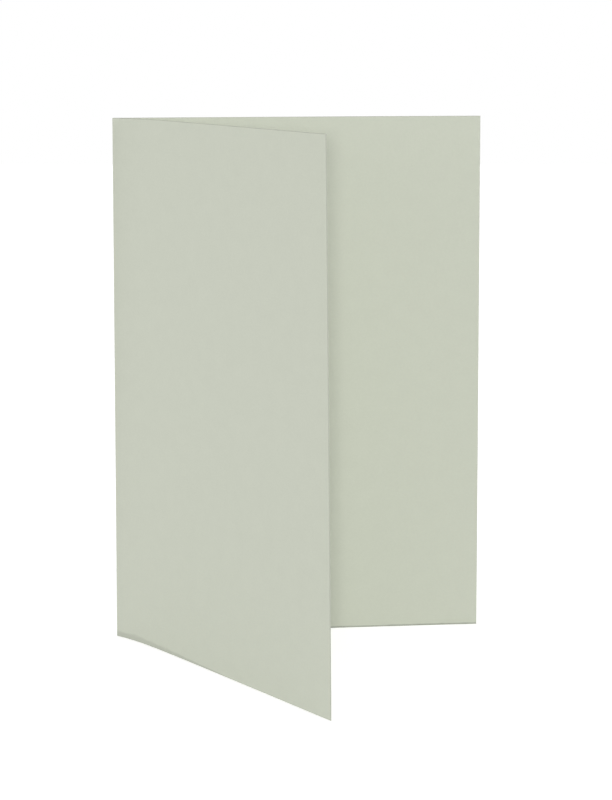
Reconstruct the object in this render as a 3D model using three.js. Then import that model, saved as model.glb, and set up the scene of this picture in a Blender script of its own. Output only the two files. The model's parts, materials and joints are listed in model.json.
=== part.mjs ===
// A folded card: one sheet of card stock, scored and folded once across its middle.
// It stands open on its lower edges, with the fold upright on the left, the back panel
// running to the right and the front panel swung forward.
// Millimetres and degrees. X runs to the right, Y runs to the back and Z is up.

import * as THREE from "three";
import { toCreasedNormals } from "three/addons/utils/BufferGeometryUtils.js";

const { degToRad, lerp } = THREE.MathUtils;

// The flat sheet before it is folded: its size across the fold, along the fold, and through.
const sheetWidth = 297;
const sheetHeight = 210;
const sheetThickness = 0.38;

// The scored fold: stock pressed up by the score stands in a bead along the inside of the
// bend, and the bend keeps a small radius clear inside that bead.
const beadHeight = 0.1;
const beadClearance = 0.15;

// The back panel's swing behind the X axis, which eases a little towards its free edge.
const backFoldAngle = 9;
const backEdgeAngle = 6;

// The front panel's swing in front of the X axis, at its bottom and its top edge. It leaves
// the fold bowed, more at the top, and has lost most of the bow after a few bow lengths.
const frontBottomFoldAngle = 40;
const frontTopFoldAngle = 20;
const frontBottomEdgeAngle = 56;
const frontTopEdgeAngle = 58.5;
const frontBowLength = 12;

// How finely the sheet is divided. The front panel's steps crowd towards the fold.
const heightSteps = 6;
const foldSteps = 8;
const backSteps = 12;
const frontSteps = 28;
const frontCrowding = 1.5;

// The stock is an even sage grey, and matt. Faces that meet at more than the crease angle,
// as they do at the cut edges, are shaded apart.
const cardColour = 0xc8ccbe;
const cardRoughness = 0.85;
const shadingCreaseAngle = 30;

// The radius of the sheet's middle line round the fold.
const foldRadius = sheetThickness / 2 + beadHeight + beadClearance;

/** The unit vector to the left of a direction of travel, which is the outside of the card. */
function leftOf(travel) {
  return new THREE.Vector2(-Math.sin(travel), Math.cos(travel));
}

/** A panel's middle line seen from above, from the fold to the free edge. */
function panelLine(start, length, steps, crowding, headingAt) {
  const points = [{ place: start, heading: headingAt(0) }];
  let walked = 0;
  for (let step = 1; step <= steps; step += 1) {
    const reached = length * (step / steps) ** crowding;
    const middle = headingAt((walked + reached) / 2);
    const stride = new THREE.Vector2(Math.cos(middle), Math.sin(middle));
    const place = points[step - 1].place.clone().addScaledVector(stride, reached - walked);
    points.push({ place, heading: headingAt(reached) });
    walked = reached;
  }
  return points;
}

/** The bend's middle line between two directions of travel, without its two ends. */
function foldLine(startTravel, endTravel) {
  const points = [];
  for (let step = 1; step < foldSteps; step += 1) {
    const share = step / foldSteps;
    const travel = lerp(startTravel, endTravel, share);
    const place = leftOf(travel).multiplyScalar(foldRadius);
    points.push({ place, travel, bead: beadHeight * Math.sin(Math.PI * share) ** 2 });
  }
  return points;
}

/** The whole sheet's middle line at a height given as a share, from the front free edge. */
function sheetLine(rise) {
  const frontAtFold = degToRad(lerp(frontBottomFoldAngle, frontTopFoldAngle, rise));
  const frontAtEdge = degToRad(lerp(frontBottomEdgeAngle, frontTopEdgeAngle, rise));
  const backAtFold = degToRad(backFoldAngle);
  const backAtEdge = degToRad(backEdgeAngle);
  const startTravel = Math.PI - frontAtFold;
  const endTravel = backAtFold;
  const panelLength = (sheetWidth - foldRadius * (startTravel - endTravel)) / 2;

  const frontStart = leftOf(startTravel).multiplyScalar(foldRadius);
  const frontHeading = (reached) => {
    const bowLeft = Math.exp(-reached / frontBowLength);
    return -lerp(frontAtEdge, frontAtFold, bowLeft);
  };
  const front = panelLine(frontStart, panelLength, frontSteps, frontCrowding, frontHeading)
    .map(({ place, heading }) => ({ place, travel: heading + Math.PI, bead: 0 }))
    .reverse();

  const backStart = leftOf(endTravel).multiplyScalar(foldRadius);
  const backHeading = (reached) => lerp(backAtFold, backAtEdge, reached / panelLength);
  const back = panelLine(backStart, panelLength, backSteps, 1, backHeading)
    .map(({ place, heading }) => ({ place, travel: heading, bead: 0 }));

  return [...front, ...foldLine(startTravel, endTravel), ...back];
}

/** The two faces of the sheet at one point of its middle line: outside first, then inside. */
function facePoints({ place, travel, bead }) {
  const outward = leftOf(travel);
  return [
    place.clone().addScaledVector(outward, sheetThickness / 2),
    place.clone().addScaledVector(outward, -sheetThickness / 2 - bead),
  ];
}

/** The closed shell through all heights of the sheet, with its four cut edges. */
function sheetGeometry() {
  const positions = [];
  for (let level = 0; level <= heightSteps; level += 1) {
    const rise = level / heightSteps;
    for (const point of sheetLine(rise)) {
      for (const corner of facePoints(point)) {
        positions.push(corner.x, corner.y, sheetHeight * rise);
      }
    }
  }

  const lastStation = frontSteps + foldSteps + backSteps;
  const outside = (level, station) => 2 * (level * (lastStation + 1) + station);
  const inside = (level, station) => outside(level, station) + 1;
  const indices = [];
  const addQuad = (a, b, c, d) => indices.push(a, b, c, a, c, d);

  for (let level = 0; level < heightSteps; level += 1) {
    const above = level + 1;
    for (let station = 0; station < lastStation; station += 1) {
      const next = station + 1;
      addQuad(outside(level, next), outside(level, station), outside(above, station), outside(above, next));
      addQuad(inside(level, station), inside(level, next), inside(above, next), inside(above, station));
    }
    addQuad(outside(level, 0), inside(level, 0), inside(above, 0), outside(above, 0));
    addQuad(
      inside(level, lastStation),
      outside(level, lastStation),
      outside(above, lastStation),
      inside(above, lastStation),
    );
  }

  for (let station = 0; station < lastStation; station += 1) {
    const next = station + 1;
    addQuad(outside(0, station), outside(0, next), inside(0, next), inside(0, station));
    addQuad(
      inside(heightSteps, station),
      inside(heightSteps, next),
      outside(heightSteps, next),
      outside(heightSteps, station),
    );
  }

  const geometry = new THREE.BufferGeometry();
  geometry.setAttribute("position", new THREE.Float32BufferAttribute(positions, 3));
  geometry.setIndex(indices);
  return toCreasedNormals(geometry, degToRad(shadingCreaseAngle));
}

/** Puts the origin at the middle of the card's footprint, on the surface it stands on. */
function centreOnFootprint(geometry) {
  geometry.computeBoundingBox();
  const middle = geometry.boundingBox.getCenter(new THREE.Vector3());
  geometry.translate(-middle.x, -middle.y, 0);
  return geometry;
}

const cardStock = new THREE.MeshStandardMaterial({
  color: cardColour,
  roughness: cardRoughness,
  metalness: 0,
});

const card = new THREE.Mesh(centreOnFootprint(sheetGeometry()), cardStock);
card.name = "card";

const foldedCard = new THREE.Group();
foldedCard.add(card);

export default foldedCard;
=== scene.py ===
"""The looks of a folded card: one sheet of card stock, folded once, that stands on its lower edges.

Metres and radians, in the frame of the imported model: X to the right, Y to the back and Z up.
"""

import json
import math

import bpy
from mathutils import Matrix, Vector


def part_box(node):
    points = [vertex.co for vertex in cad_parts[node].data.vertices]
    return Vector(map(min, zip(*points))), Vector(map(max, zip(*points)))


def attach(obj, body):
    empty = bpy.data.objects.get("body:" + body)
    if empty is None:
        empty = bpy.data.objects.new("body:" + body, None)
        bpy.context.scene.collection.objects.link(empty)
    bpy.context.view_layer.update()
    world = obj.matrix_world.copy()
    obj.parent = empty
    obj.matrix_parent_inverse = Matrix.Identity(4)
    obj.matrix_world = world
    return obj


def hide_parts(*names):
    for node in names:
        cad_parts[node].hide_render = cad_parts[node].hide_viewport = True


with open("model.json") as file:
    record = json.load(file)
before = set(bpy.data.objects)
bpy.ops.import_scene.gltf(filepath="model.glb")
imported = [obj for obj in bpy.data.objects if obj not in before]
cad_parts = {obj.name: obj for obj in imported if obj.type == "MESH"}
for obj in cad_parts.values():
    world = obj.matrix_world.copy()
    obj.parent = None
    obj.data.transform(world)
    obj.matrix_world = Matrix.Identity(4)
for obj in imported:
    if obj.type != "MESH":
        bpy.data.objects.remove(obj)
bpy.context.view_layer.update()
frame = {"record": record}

mm = 0.001
degree = math.radians(1)

# The flat sheet and its scored fold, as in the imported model. The height comes from the frame.
card_low, card_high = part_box("card")
sheet_height = card_high.z - card_low.z
sheet_width = 297 * mm
sheet_thickness = 0.38 * mm
bead_height = 0.1 * mm
bead_clearance = 0.15 * mm
fold_radius = sheet_thickness / 2 + bead_height + bead_clearance

# The swing of each panel from the X axis, at the fold and at the free edge.
back_fold_angle = 9 * degree
back_edge_angle = 6 * degree
front_bottom_fold_angle = 40 * degree
front_top_fold_angle = 20 * degree
front_bottom_edge_angle = 56 * degree
front_top_edge_angle = 58.5 * degree
front_bow_length = 12 * mm

# The guillotine leaves the cut edges square, with their corners just softened.
edge_radius = 0.14 * mm
edge_margin = 0.4 * mm
edge_steps = 5

# How finely the sheet is divided. The front panel's steps crowd towards the fold.
height_steps = 56
fold_steps = 24
back_steps = 64
front_steps = 120
front_crowding = 1.5

# Faces that meet at more than this angle are shaded apart.
sharp_angle = 40 * degree

# The colour of the card's faces, in linear light, from the record, and how it varies.
stock_record = next(row for row in frame["record"]["materials"] if row["slot"] == "card_stock")
card_colour = stock_record["base_color"]
face_tone_range = 0.035
edge_shade = 0.78
edge_tone_range = 0.1

# The stock is matt: the roughness of its faces, from lowest to highest, and of its cut edges,
# and how strongly each shines.
face_roughness = (0.84, 0.94)
edge_roughness = 0.95
face_shine = 0.25
edge_shine = 0.2

# The paper's patterns, as sizes along the sheet, up it and through it, and the depth of its relief.
cloud_grain = (7 * mm, 6 * mm, 7 * mm)
felt_grain = (1.1 * mm, 0.9 * mm, 1 * mm)
fibre_grain = (1.1 * mm, 0.15 * mm, 0.2 * mm)
layer_grain = (0.7 * mm, 0.7 * mm, 0.035 * mm)
fibre_end_grain = (0.09 * mm, 0.09 * mm, 0.06 * mm)
# This pattern makes the top of the painted shade along the lower edge uneven.
painted_shade_grain = (5 * mm, 1.5 * mm, 5 * mm)
face_relief = 0.03 * mm
edge_relief = 0.03 * mm

# The fibres lie two ways, each turned from the line along the sheet, and curl a little.
fibre_turns = (35 * degree, -50 * degree)
fibre_curl = 2

# How much of a mix comes from the fibres, beside the felt; from the surface, beside the clouds;
# and from the fibres' ends, beside the layers.
fibre_share = 0.6
surface_share = 0.8
fibre_end_share = 0.4

# The levels of detail in a pattern, and the part of the Noise node's range that it spans.
plain_detail = 2
broken_detail = 3
noise_range = (0.3, 0.7)
unit_range = (0, 1)

# Painted shade along the lower edge where the card stands, for its contact shadow: in a thin line under
# the back panel, and in a low sliver that runs out along the front panel from the fold.
# Lengths are along the sheet from the fold, and the painted shade is full up to a share of its height.
painted_shade_line = 0.75 * mm
painted_shade_beside_fold = 2.7 * mm
painted_shade_least_height = 0.01 * mm
painted_shade_full_share = 0.6
painted_shade_front_start = 14 * mm
painted_shade_front_end = 88 * mm
painted_shade_back_start = 20 * mm
painted_shade_front_depth = 0.16
painted_shade_back_depth = 0.38
painted_shade_unevenness = 0.12

# The camera, placed to match the edges of the card in the photograph.
camera_place = Vector((0.0031, -0.9397, 0.2558))
camera_pitch_down = 6.82 * degree
camera_lens = 112.3
camera_sensor = 36
camera_shift_y = -0.125

# Low soft lamps all round, in even light: strength, where 1 is plain light, then bearing from
# the camera towards the right, height above the horizon, and width, in degrees. The key makes
# the soft shadow beside the front panel.
lamps = {
    "key": (0.21, -1.6, 3.7, 4.4),
    "right_front": (0.335, 55.5, 9, 18),
    "right_side": (0.2, 95, 9, 18),
    "back": (0.4, 170, 9, 18),
    "left_side": (0.32, -80, 9, 18),
}
ambient_strength = 0.52

# The floor: its width in metres, how much light it gives back, and how much white it adds
# towards the camera.
floor_size = 6
floor_albedo = 0.9
floor_white = 0.5


# The sheet's shape


def lerp(start, end, share):
    return start + (end - start) * share


def left_of(travel):
    """The unit vector to the left of a direction of travel, which is the outside of the card."""
    return Vector((-math.sin(travel), math.cos(travel)))


def edge_rings():
    """The rings round a softened cut edge: how far in each lies, and how much it thins a face."""
    turns = [step / edge_steps * math.pi / 2 for step in range(edge_steps + 1)]
    rings = [
        (edge_radius * (1 - math.cos(turn)), edge_radius * (1 - math.sin(turn)))
        for turn in turns
    ]
    return rings + [(edge_margin, 0)]


def panel_stations(length, steps, crowding=1):
    """Distances from the fold to a free edge, each with what the softened edge takes off a face."""
    inner = [((length - edge_margin) * (step / steps) ** crowding, 0) for step in range(steps)]
    return inner + [(length - inset, thinning) for inset, thinning in reversed(edge_rings())]


def height_levels():
    """Heights from the bottom cut edge to the top one, each with what the edge takes off a face."""
    bottom = edge_rings()
    top = [(sheet_height - inset, thinning) for inset, thinning in reversed(bottom)]
    span = sheet_height - 2 * edge_margin
    between = [(edge_margin + span * step / height_steps, 0) for step in range(1, height_steps)]
    return bottom + between + top


def panel_line(start, stations, heading_at):
    """A panel's middle line seen from above: place, heading, distance from the fold, thinning."""
    points = []
    place = start
    walked = 0
    for reached, thinning in stations:
        middle = heading_at((walked + reached) / 2)
        place = place + Vector((math.cos(middle), math.sin(middle))) * (reached - walked)
        points.append((place, heading_at(reached), reached, thinning))
        walked = reached
    return points


def fold_line(start_travel, end_travel):
    """The bend's middle line between two directions of travel, without its two ends."""
    points = []
    arc = fold_radius * (start_travel - end_travel)
    for step in range(1, fold_steps):
        share = step / fold_steps
        travel = lerp(start_travel, end_travel, share)
        bead = bead_height * math.sin(math.pi * share) ** 2
        points.append((left_of(travel) * fold_radius, travel, (share - 0.5) * arc, 0, bead))
    return points


def sheet_line(rise):
    """The sheet's middle line at a height given as a share, from the front free edge.

    Each point has its place, direction of travel, distance along the flat sheet from the middle
    of the fold, thinning at a cut edge, and height of the bead inside the fold.
    """
    front_at_fold = lerp(front_bottom_fold_angle, front_top_fold_angle, rise)
    front_at_edge = lerp(front_bottom_edge_angle, front_top_edge_angle, rise)
    start_travel = math.pi - front_at_fold
    end_travel = back_fold_angle
    half_arc = fold_radius * (start_travel - end_travel) / 2
    panel_length = sheet_width / 2 - half_arc

    def front_heading(reached):
        bow_left = math.exp(-reached / front_bow_length)
        return -lerp(front_at_edge, front_at_fold, bow_left)

    def back_heading(reached):
        return lerp(back_fold_angle, back_edge_angle, reached / panel_length)

    front_stations = panel_stations(panel_length, front_steps, front_crowding)
    front = [
        (place, heading + math.pi, -half_arc - reached, thinning, 0)
        for place, heading, reached, thinning in panel_line(
            left_of(start_travel) * fold_radius, front_stations, front_heading
        )
    ]
    back_stations = panel_stations(panel_length, back_steps)
    back = [
        (place, heading, half_arc + reached, thinning, 0)
        for place, heading, reached, thinning in panel_line(
            left_of(end_travel) * fold_radius, back_stations, back_heading
        )
    ]
    return front[::-1] + fold_line(start_travel, end_travel) + back


def sheet_points():
    """Two grids of points, the outside face's and the inside's, as rows from bottom to top.

    Each point has its place in space, its place in the flat sheet, and its thinning.
    """
    outside, inside = [], []
    for height, level_thinning in height_levels():
        outside_row, inside_row = [], []
        for place, travel, along, station_thinning, bead in sheet_line(height / sheet_height):
            thinning = max(level_thinning, station_thinning)
            through = sheet_thickness / 2 - thinning
            outer = place + left_of(travel) * through
            inner = place - left_of(travel) * (through + bead)
            outside_row.append(((outer.x, outer.y, height), (along, height, through), thinning))
            inside_row.append(((inner.x, inner.y, height), (along, height, -through), thinning))
        outside.append(outside_row)
        inside.append(inside_row)
    return outside, inside


def grid_rim(rows, columns):
    """The places round the rim of a grid, anticlockwise from its first corner."""
    bottom = [(0, column) for column in range(columns)]
    last = [(row, columns - 1) for row in range(1, rows)]
    top = [(rows - 1, column) for column in range(columns - 2, -1, -1)]
    first = [(row, 0) for row in range(rows - 2, 0, -1)]
    return bottom + last + top + first


def sheet_faces(rows, columns):
    """The quads of both faces and of the cut edge that joins them, wound to face out."""
    def outer(row, column):
        return row * columns + column

    def inner(row, column):
        return rows * columns + outer(row, column)

    faces = []
    for row in range(rows - 1):
        for column in range(columns - 1):
            corners = [(row, column), (row, column + 1), (row + 1, column + 1), (row + 1, column)]
            faces.append([outer(*corner) for corner in reversed(corners)])
            faces.append([inner(*corner) for corner in corners])
    rim = grid_rim(rows, columns)
    for here, there in zip(rim, rim[1:] + rim[:1]):
        faces.append([outer(*here), outer(*there), inner(*there), inner(*here)])
    return faces


def centred_on_footprint(places):
    """The places moved so that the middle of their footprint is at the origin."""
    xs = [x for x, y, z in places]
    ys = [y for x, y, z in places]
    middle_x = (min(xs) + max(xs)) / 2
    middle_y = (min(ys) + max(ys)) / 2
    return [(x - middle_x, y - middle_y, z) for x, y, z in places]


def placed(name, data):
    """A new object in the scene, made of the given mesh, light or camera."""
    made = bpy.data.objects.new(name, data)
    bpy.context.scene.collection.objects.link(made)
    return made


def make_card(stock, cut_edge):
    """The card's sheet as one closed mesh, with the flat sheet's own coordinates on its points."""
    outside, inside = sheet_points()
    points = [point for grid in (outside, inside) for row in grid for point in row]
    faces = sheet_faces(len(outside), len(outside[0]))

    mesh = bpy.data.meshes.new("card_sheet")
    mesh.from_pydata(centred_on_footprint([place for place, flat, thinning in points]), [], faces)
    flat_place = mesh.attributes.new("flat_place", "FLOAT_VECTOR", "POINT")
    flat_place.data.foreach_set("vector", [value for place, flat, thinning in points for value in flat])
    mesh.materials.append(stock)
    mesh.materials.append(cut_edge)
    for polygon in mesh.polygons:
        thinned = any(points[vertex][2] > 0 for vertex in polygon.vertices)
        polygon.material_index = 1 if thinned else 0
    mesh.shade_smooth()
    mesh.set_sharp_from_angle(angle=sharp_angle)
    return placed("card_sheet", mesh)


# Materials


def node(tree, kind, **settings):
    """A new shader node with the given settings."""
    made = tree.nodes.new(kind)
    for name, value in settings.items():
        setattr(made, name, value)
    return made


def emptied_tree(owner):
    """The node tree of a material or world, switched on and emptied."""
    owner.use_nodes = True
    owner.node_tree.nodes.clear()
    return owner.node_tree


def new_material(name):
    """A new material, its node tree, and the Principled shader joined to its output."""
    material = bpy.data.materials.new(name)
    tree = emptied_tree(material)
    output = node(tree, "ShaderNodeOutputMaterial")
    shader = node(tree, "ShaderNodeBsdfPrincipled")
    tree.links.new(shader.outputs["BSDF"], output.inputs["Surface"])
    return material, tree, shader


def flat_coordinates(tree):
    """The place in the flat sheet, in metres: along it, up it, and through its thickness."""
    return node(tree, "ShaderNodeAttribute", attribute_name="flat_place").outputs["Vector"]


def spread(tree, value, source, target):
    """A value carried from one range to another, held inside the second."""
    mapped = node(tree, "ShaderNodeMapRange", clamp=True)
    tree.links.new(value, mapped.inputs["Value"])
    for name, level in zip(("From Min", "From Max", "To Min", "To Max"), (*source, *target)):
        mapped.inputs[name].default_value = level
    return mapped.outputs["Result"]


def grain(tree, place, sizes, turn=0, detail=plain_detail, curl=0):
    """A soft pattern from 0 to 1 with the given sizes along, up and through the sheet."""
    turned = node(tree, "ShaderNodeVectorRotate", rotation_type="Z_AXIS")
    turned.inputs["Angle"].default_value = turn
    tree.links.new(place, turned.inputs["Vector"])
    scaled = node(tree, "ShaderNodeVectorMath", operation="DIVIDE")
    scaled.inputs[1].default_value = sizes
    tree.links.new(turned.outputs["Vector"], scaled.inputs[0])
    noise = node(tree, "ShaderNodeTexNoise")
    noise.inputs["Scale"].default_value = 1
    noise.inputs["Detail"].default_value = detail
    noise.inputs["Distortion"].default_value = curl
    tree.links.new(scaled.outputs["Vector"], noise.inputs["Vector"])
    return spread(tree, noise.outputs["Fac"], noise_range, unit_range)


def combine(tree, operation, first, second):
    """Two values taken together by one of the Math node's operations."""
    both = node(tree, "ShaderNodeMath", operation=operation)
    tree.links.new(first, both.inputs[0])
    tree.links.new(second, both.inputs[1])
    return both.outputs["Value"]


def blend(tree, first, second, share=0.5):
    """A mix of two values, even unless a share of the second is given."""
    mixed = node(tree, "ShaderNodeMix", data_type="FLOAT")
    mixed.inputs["Factor"].default_value = share
    tree.links.new(first, mixed.inputs["A"])
    tree.links.new(second, mixed.inputs["B"])
    return mixed.outputs["Result"]


def tint(tree, value, colour, tone_range):
    """A colour that goes from a little darker to a little lighter as a value goes from 0 to 1."""
    mixed = node(tree, "ShaderNodeMix", data_type="RGBA")
    mixed.inputs["A"].default_value = (*[c * (1 - tone_range) for c in colour], 1)
    mixed.inputs["B"].default_value = (*[c * (1 + tone_range) for c in colour], 1)
    tree.links.new(value, mixed.inputs["Factor"])
    return mixed.outputs["Result"]


def bump(tree, height, depth):
    """The surface's normal under a relief of the given depth."""
    relief = node(tree, "ShaderNodeBump")
    relief.inputs["Distance"].default_value = depth
    tree.links.new(height, relief.inputs["Height"])
    return relief.outputs["Normal"]


def unshaded_share(tree, place):
    """How much of the unshaded tone is left: 1 all over, apart from the painted shade on the lower
    edge.
    """
    parts = node(tree, "ShaderNodeSeparateXYZ")
    tree.links.new(place, parts.inputs["Vector"])
    along, height = parts.outputs["X"], parts.outputs["Y"]
    front_ends = (-painted_shade_front_end, -painted_shade_front_start)
    back_ends = (0, painted_shade_back_start)

    on_front = spread(tree, along, front_ends, (painted_shade_least_height, painted_shade_beside_fold))
    on_back = spread(tree, along, back_ends, (painted_shade_beside_fold, painted_shade_line))
    even_height = combine(tree, "MINIMUM", on_front, on_back)
    shade_patches = grain(tree, place, painted_shade_grain, detail=broken_detail)
    unevenness = spread(tree, shade_patches, unit_range, (1 - painted_shade_unevenness, 1 + painted_shade_unevenness))
    shade_height = combine(tree, "MULTIPLY", even_height, unevenness)

    risen = combine(tree, "DIVIDE", height, shade_height)
    amount = spread(tree, risen, (painted_shade_full_share, 1), (1, 0))
    depth = spread(tree, along, back_ends, (painted_shade_front_depth, painted_shade_back_depth))
    loss = combine(tree, "MULTIPLY", amount, depth)
    return spread(tree, loss, unit_range, (1, 0))


def card_stock():
    """Uncoated card: cloudy formation, short fibres lying two ways, and a matt, faintly felted face."""
    material, tree, shader = new_material("card_stock")
    place = flat_coordinates(tree)
    clouds = grain(tree, place, cloud_grain, detail=broken_detail)
    felt = grain(tree, place, felt_grain)
    lays = [grain(tree, place, fibre_grain, turn, curl=fibre_curl) for turn in fibre_turns]
    fibres = blend(tree, *lays)
    surface = blend(tree, felt, fibres, fibre_share)
    unshaded_colour = tint(tree, blend(tree, clouds, surface, surface_share), card_colour, face_tone_range)
    # Painted shade: the colour is darkened along the lower edge, for the contact shadow where the card
    # stands.
    shaded_colour = node(tree, "ShaderNodeVectorMath", operation="SCALE")
    tree.links.new(unshaded_colour, shaded_colour.inputs["Vector"])
    tree.links.new(unshaded_share(tree, place), shaded_colour.inputs["Scale"])
    tree.links.new(shaded_colour.outputs["Vector"], shader.inputs["Base Color"])
    tree.links.new(spread(tree, surface, unit_range, face_roughness), shader.inputs["Roughness"])
    tree.links.new(bump(tree, surface, face_relief), shader.inputs["Normal"])
    shader.inputs["Specular IOR Level"].default_value = face_shine
    return material


def card_cut_edge():
    """The guillotined edge: fibres cut across, in thin layers that run along the edge."""
    material, tree, shader = new_material("card_cut_edge")
    place = flat_coordinates(tree)
    layers = grain(tree, place, layer_grain)
    fibre_ends = grain(tree, place, fibre_end_grain)
    surface = blend(tree, layers, fibre_ends, fibre_end_share)
    colour = [c * edge_shade for c in card_colour]
    tree.links.new(tint(tree, surface, colour, edge_tone_range), shader.inputs["Base Color"])
    tree.links.new(bump(tree, surface, edge_relief), shader.inputs["Normal"])
    shader.inputs["Roughness"].default_value = edge_roughness
    shader.inputs["Specular IOR Level"].default_value = edge_shine
    return material


# The studio


def seen_directly(tree):
    """1 for what the camera sees, also in a reflection or through glass, and 0 for other light."""
    rays = node(tree, "ShaderNodeLightPath").outputs
    seen_or_reflected = combine(tree, "MAXIMUM", rays["Is Camera Ray"], rays["Is Glossy Ray"])
    return combine(tree, "MAXIMUM", seen_or_reflected, rays["Is Transmission Ray"])


def floor_material():
    """A pale matt floor that shows white where it is fully lit, and keeps the card's shadow."""
    material = bpy.data.materials.new("studio_floor")
    tree = emptied_tree(material)
    output = node(tree, "ShaderNodeOutputMaterial")
    matt = node(tree, "ShaderNodeBsdfDiffuse")
    matt.inputs["Color"].default_value = (floor_albedo, floor_albedo, floor_albedo, 1)
    white = node(tree, "ShaderNodeEmission")
    level = spread(tree, seen_directly(tree), unit_range, (0, floor_white))
    tree.links.new(level, white.inputs["Strength"])
    both = node(tree, "ShaderNodeAddShader")
    tree.links.new(matt.outputs["BSDF"], both.inputs[0])
    tree.links.new(white.outputs["Emission"], both.inputs[1])
    tree.links.new(both.outputs["Shader"], output.inputs["Surface"])
    return material


def make_floor():
    """A square floor round the origin."""
    mesh = bpy.data.meshes.new("studio_floor")
    half = floor_size / 2
    corners = [(-half, -half, 0), (half, -half, 0), (half, half, 0), (-half, half, 0)]
    mesh.from_pydata(corners, [], [(0, 1, 2, 3)])
    mesh.materials.append(floor_material())
    return placed("studio_floor", mesh)


def make_world():
    """Even light from all round, behind a backdrop that is white to the camera."""
    world = bpy.data.worlds.new("studio")
    bpy.context.scene.world = world
    tree = emptied_tree(world)
    output = node(tree, "ShaderNodeOutputWorld")
    background = node(tree, "ShaderNodeBackground")
    background.inputs["Color"].default_value = (1, 1, 1, 1)
    level = spread(tree, seen_directly(tree), unit_range, (ambient_strength, 1))
    tree.links.new(level, background.inputs["Strength"])
    tree.links.new(background.outputs["Background"], output.inputs["Surface"])


def make_lamp(name, strength, bearing, height, width):
    """A lamp so far away that it lights evenly, from a bearing and a height in degrees."""
    data = bpy.data.lights.new(name, "SUN")
    data.energy = strength * math.pi
    data.angle = width * degree
    across, up = bearing * degree, height * degree
    travel = Vector((-math.sin(across) * math.cos(up), math.cos(across) * math.cos(up), -math.sin(up)))
    placed(name, data).rotation_euler = travel.to_track_quat("-Z", "Y").to_euler()


def make_camera():
    """The camera at the photograph's place, made the one that renders."""
    data = bpy.data.cameras.new("camera")
    data.sensor_width = camera_sensor
    data.lens = camera_lens
    data.shift_y = camera_shift_y
    camera = placed("camera", data)
    camera.location = camera_place
    camera.rotation_euler = (math.pi / 2 - camera_pitch_down, 0, 0)
    bpy.context.scene.camera = camera


make_camera()
make_world()
for lamp_name, (strength, bearing, height, width) in lamps.items():
    make_lamp(lamp_name, strength, bearing, height, width)
bpy.context.scene.view_settings.view_transform = "Standard"

floor = make_floor()

card_sheet = make_card(card_stock(), card_cut_edge())
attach(card_sheet, "root")
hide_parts("card")
